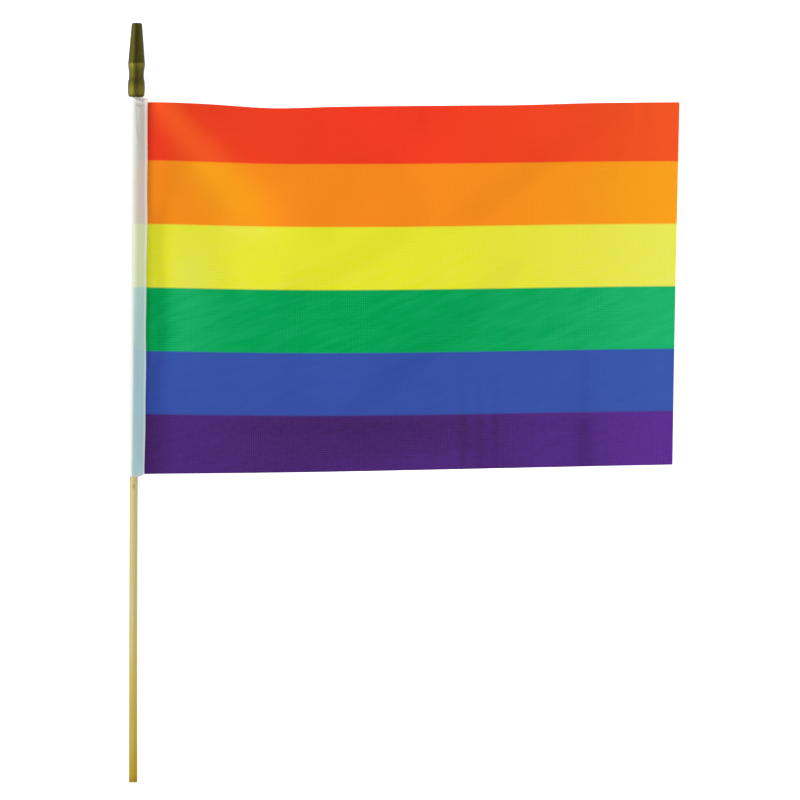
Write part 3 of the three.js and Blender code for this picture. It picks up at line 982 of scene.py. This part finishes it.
from_knot = add_node(tree, "ShaderNodeVectorMath", {"operation": "SUBTRACT"},
                     {0: position, 1: tuple(in_frame(KNOT))})
knot_shape = add_node(tree, "ShaderNodeVectorMath", {"operation": "MULTIPLY"}, {
    0: from_knot.outputs[0], 1: [1 / (size * MM) for size in KNOT_SIZE]})
knot_away = add_node(tree, "ShaderNodeVectorMath", {"operation": "LENGTH"},
                     {0: knot_shape.outputs[0]})
knot_amount = add_node(tree, "ShaderNodeMapRange", {"interpolation_type": "SMOOTHSTEP"}, {
    0: knot_away.outputs["Value"], 1: 1.0, 2: KNOT_CORE, 3: 0.0, 4: KNOT_SHOWS})
wood = add_node(tree, "ShaderNodeMix", {"data_type": "RGBA"}, {
    "Factor": knot_amount.outputs[0], 6: grained.outputs[0], 7: linear("92802E")})
bump = add_node(tree, "ShaderNodeBump", inputs={
    "Strength": 0.4, "Distance": GRAIN_DEPTH * MM, "Height": streaks.outputs[0]})
shader = add_node(tree, "ShaderNodeBsdfPrincipled", inputs={
    "Base Color": wood.outputs[2], "Roughness": 0.6, "Specular IOR Level": 0.15,
    "Normal": bump.outputs[0]})
tree.links.new(shader.outputs[0], output.inputs["Surface"])
finish_piece(stick, "wooden_stick", "stick", [material])

# %% [markdown]
# ## The tip
# The tip is turned or moulded round an axis, so it is made by spinning half of its outline: a
# blunt cone, a rounded ring, a waisted neck and a rounded collar, and inside a blind socket for
# the stick. The outline is a curve with one point for each change of shape. Turned into a mesh, it
# is spun round the stick's axis, and then tilted and moved to where the stick's end is.

# %% The tip as a mesh
SOCKET_SLACK = 0.3
SOCKET_RADIUS = STICK_RADIUS + SOCKET_SLACK
SOCKET_DEPTH = STICK_LENGTH - TIP_FOOT + SOCKET_SLACK
CHAMFER = 0.3
Turn = namedtuple("Turn", "radius up kind")
TIP_OUTLINE = [
    Turn(0.0, SOCKET_DEPTH, "sharp"), Turn(SOCKET_RADIUS, SOCKET_DEPTH, "sharp"),
    Turn(SOCKET_RADIUS, CHAMFER, "sharp"), Turn(SOCKET_RADIUS + CHAMFER, 0.0, "sharp"),
    Turn(5.5, 0.0, "sharp"), Turn(6.2, 0.5, "soft"), Turn(6.9, 2.6, "soft"),
    Turn(COLLAR_RADIUS, COLLAR_UP, "soft"), Turn(7.1, 9.4, "soft"), Turn(6.85, 12.8, "soft"),
    Turn(6.3, 15.6, "soft"), Turn(6.15, 18.2, "soft"), Turn(6.35, 21.3, "soft"),
    Turn(6.85, 24.6, "soft"), Turn(7.12, 27.2, "soft"), Turn(7.05, 28.3, "sharp"),
    Turn(6.9, 29.2, "sharp"), Turn(4.5, 59.0, "soft"), Turn(4.25, 60.9, "soft"),
    Turn(3.9, 61.35, "soft"), Turn(3.0, TIP_LENGTH, "soft"), Turn(0.0, TIP_LENGTH, "sharp"),
]
SPIN_STEPS = 96
CURVE_STEPS = 6


def spun(turns):
    """Spins an outline round the Y axis: a closed shape, its foot at the origin."""
    bpy.ops.object.select_all(action="DESELECT")
    bpy.ops.curve.primitive_bezier_curve_add()
    profile = bpy.context.object
    profile.data.resolution_u = CURVE_STEPS
    spline = profile.data.splines[0]
    spline.bezier_points.add(len(turns) - len(spline.bezier_points))
    for point, turn in zip(spline.bezier_points, turns):
        point.co = (turn.radius * MM, turn.up * MM, 0)
        handle = "AUTO" if turn.kind == "soft" else "VECTOR"
        point.handle_left_type = point.handle_right_type = handle
    bpy.ops.object.convert(target="MESH")
    bpy.ops.object.mode_set(mode="EDIT")
    bpy.ops.mesh.select_all(action="SELECT")
    bpy.ops.mesh.spin(steps=SPIN_STEPS, angle=2 * math.pi, center=(0, 0, 0), axis=(0, 1, 0))
    close_mesh()
    return profile


tip = spun(TIP_OUTLINE)
tip_foot, tip_head = stick_point(TIP_FOOT), stick_point(OVERALL_LENGTH)
lean = tip_head - tip_foot
tip.rotation_euler = (math.asin(lean[2] / np.linalg.norm(lean)), 0, -math.atan2(lean[0], lean[1]))
tip.location = tuple(tip_foot)
select_only(tip)
bpy.ops.object.transform_apply(location=True, rotation=True, scale=True)
rest_and_smooth(tip)
print("tip's points:", len(tip.data.vertices))

# %% [markdown]
# The ring and the collar carry a painted highlight: the coating is painted brighter there, where
# their curves catch the light. How much brighter it is there is kept on the mesh, by the height
# over the tip's foot in millimetres.

# %% Where the tip's highlights are painted
PAINTED_HIGHLIGHT = [
    (0, 1.4), (3, 2.2), (7, 2.1), (11, 1.3), (16, 1.1), (21, 1.45), (24.5, 1.9), (26.3, 2.5),
    (27.8, 2.1), (28.6, 1.0),
]
over_foot = (points_of(tip)[:, 1] - tip_foot[1]) / MM
keep_number(tip, "painted_highlight", np.interp(over_foot, *zip(*PAINTED_HIGHLIGHT)))
print("heights on the tip in mm:", round(float(over_foot.min()), 1), round(float(over_foot.max()), 1))

# %% [markdown]
# The tip is moulded plastic with a vacuum-coated, tinted metal skin, sold as antique gold. It
# reads as a dark olive bronze with broad soft highlights, a little uneven where the coating is
# thin. The unevenness is drawn out along the tip, about a millimetre wide and a centimetre long.

# %% Antique-gold coating
HAZE_TO_A_METRE = (900, 90, 900)
COAT_THIN, COAT_THICK = "35310D", "444016"
GLOSS_RANGE = (0.5, 0.58)

material, tree, output = new_material("antique_gold_coating")
position = add_node(tree, "ShaderNodeTexCoord").outputs["Object"]
drawn_out = add_node(tree, "ShaderNodeMapping", inputs={
    "Vector": position, "Scale": HAZE_TO_A_METRE})
haze = add_node(tree, "ShaderNodeTexNoise", inputs={
    "Vector": drawn_out.outputs[0], "Scale": 1.0, "Detail": 3.0})
coat = add_node(tree, "ShaderNodeValToRGB", inputs={0: haze.outputs[0]})
ends = ((NOISE_LOW, COAT_THIN), (NOISE_HIGH, COAT_THICK))
for stop, (where, colour) in zip(coat.color_ramp.elements, ends):
    stop.position = where
    stop.color = linear(colour)
gloss = add_node(tree, "ShaderNodeMapRange", inputs={
    0: haze.outputs[0], 1: NOISE_LOW, 2: NOISE_HIGH, 3: GLOSS_RANGE[0], 4: GLOSS_RANGE[1]})
# Painted highlight: the coating's colour is scaled up, most on the ring and the collar.
handled = add_node(tree, "ShaderNodeAttribute", {"attribute_name": "painted_highlight"})
highlighted = add_node(tree, "ShaderNodeVectorMath", {"operation": "SCALE"},
                    {0: coat.outputs["Color"], "Scale": handled.outputs["Fac"]})
shader = add_node(tree, "ShaderNodeBsdfPrincipled", inputs={
    "Base Color": highlighted.outputs[0], "Metallic": 0.95, "Roughness": gloss.outputs[0]})
tree.links.new(shader.outputs[0], output.inputs["Surface"])
finish_piece(tip, "turned_tip", "tip", [material])
